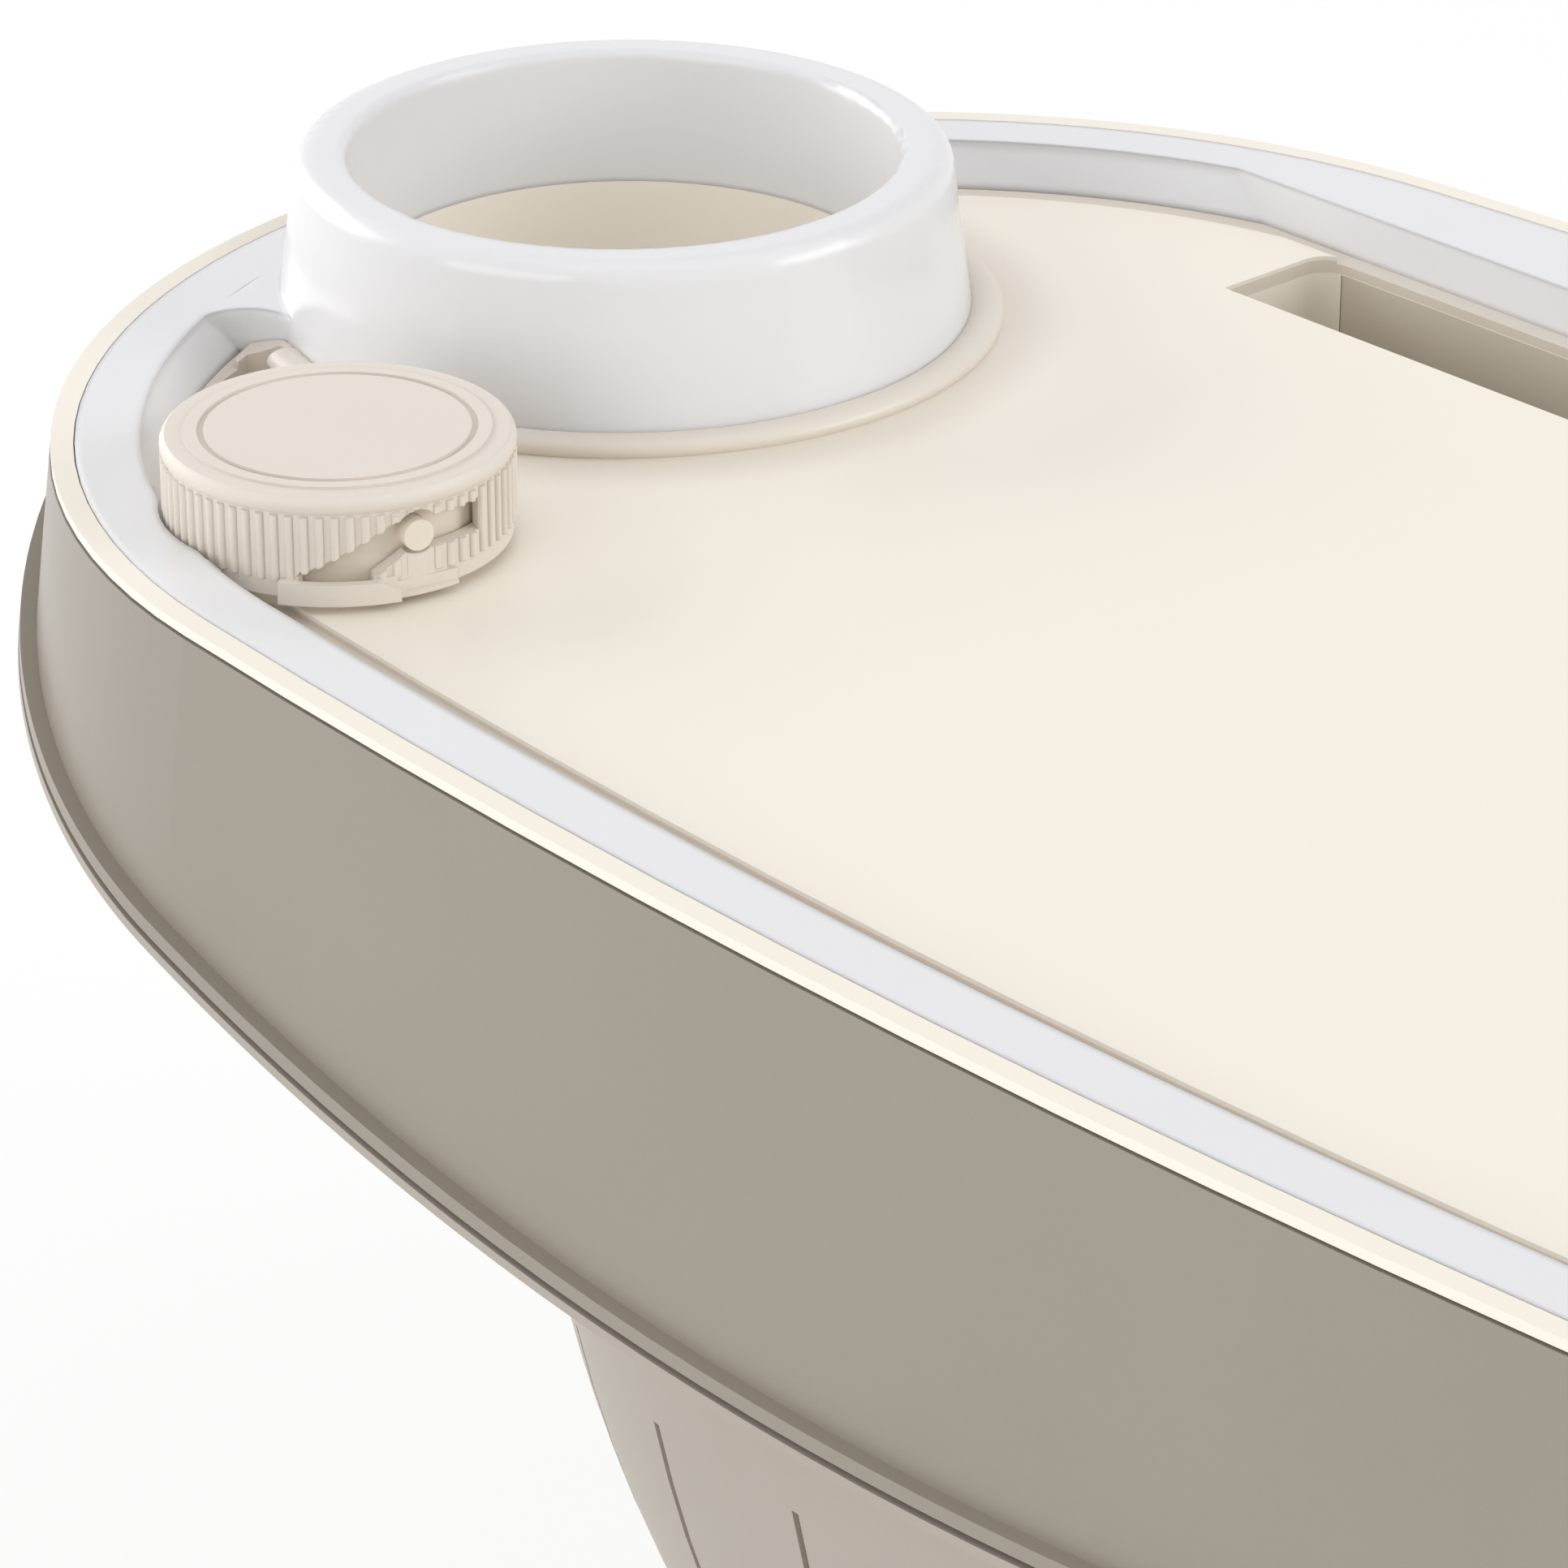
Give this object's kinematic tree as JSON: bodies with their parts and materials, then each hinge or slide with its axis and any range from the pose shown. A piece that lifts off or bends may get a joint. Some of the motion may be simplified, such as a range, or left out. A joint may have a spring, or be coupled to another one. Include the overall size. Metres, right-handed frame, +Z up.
{
  "type": "hot tub tray",
  "caption": "Oval spa-side tray with a raised cup holder, a long storage trough, a glowing rim ring and a twist-off battery cap over a deep hull.",
  "frame": {"origin": "centre of the tray in plan, at the level of the hull's flat bottom", "axes": "+X along the tray's length, away from the cup holder; +Y to the back, where the storage trough is; +Z up"},
  "size_m": [0.5244, 0.2898, 0.218],
  "materials": {
    "cream_plastic": "satin moulded",
    "taupe_plastic": "satin moulded",
    "hull_plastic": "satin moulded",
    "trough_plastic": "satin moulded",
    "ring_plastic": "gloss translucent white",
    "cap_plastic": "fine matt",
    "seal_rubber": "soft",
    "tube_plastic": "satin moulded",
    "carrier_plastic": "matt moulded",
    "cell_jacket": "shrink sleeve",
    "contact_brass": "stamped",
    "spring_steel": "plated wire",
    "screw_steel": "passivated",
    "strip_film": "flexible film",
    "lamp_resin": "clear resin",
    "board_laminate": "lacquered laminate",
    "board_part": "moulded",
    "lead_jacket": "insulated"
  },
  "bodies": {
    "tray": {"deck": "cream_plastic", "cup_well": "cream_plastic", "storage_trough": "trough_plastic", "light_ring": "ring_plastic", "outer_wall": "taupe_plastic", "hull": "hull_plastic", "rim_gasket": "seal_rubber", "lip_seal": "seal_rubber", "battery_tube": "tube_plastic", "battery_carrier": "carrier_plastic", "cell_1": "cell_jacket", "cell_2": "cell_jacket", "cell_3": "cell_jacket", "cell_springs": "spring_steel", "lamp_strip": "strip_film", "lamps": "lamp_resin", "driver_board": "board_laminate", "board_parts": "board_part", "supply_leads": "lead_jacket", "strip_leads": "strip_film", "case_screws": "screw_steel", "board_screws": "screw_steel"},
    "cap": {"twist_cap": "cap_plastic", "cap_seal": "seal_rubber", "cap_contact": "contact_brass"}
  },
  "joints": [
    {"name": "cap_turn", "type": "hinge", "parent": "tray", "child": "cap", "pos_m": [-0.1605, -0.085, 0.2], "axis": [0, 0, 1], "range_deg": [-16, 0]}
  ]
}
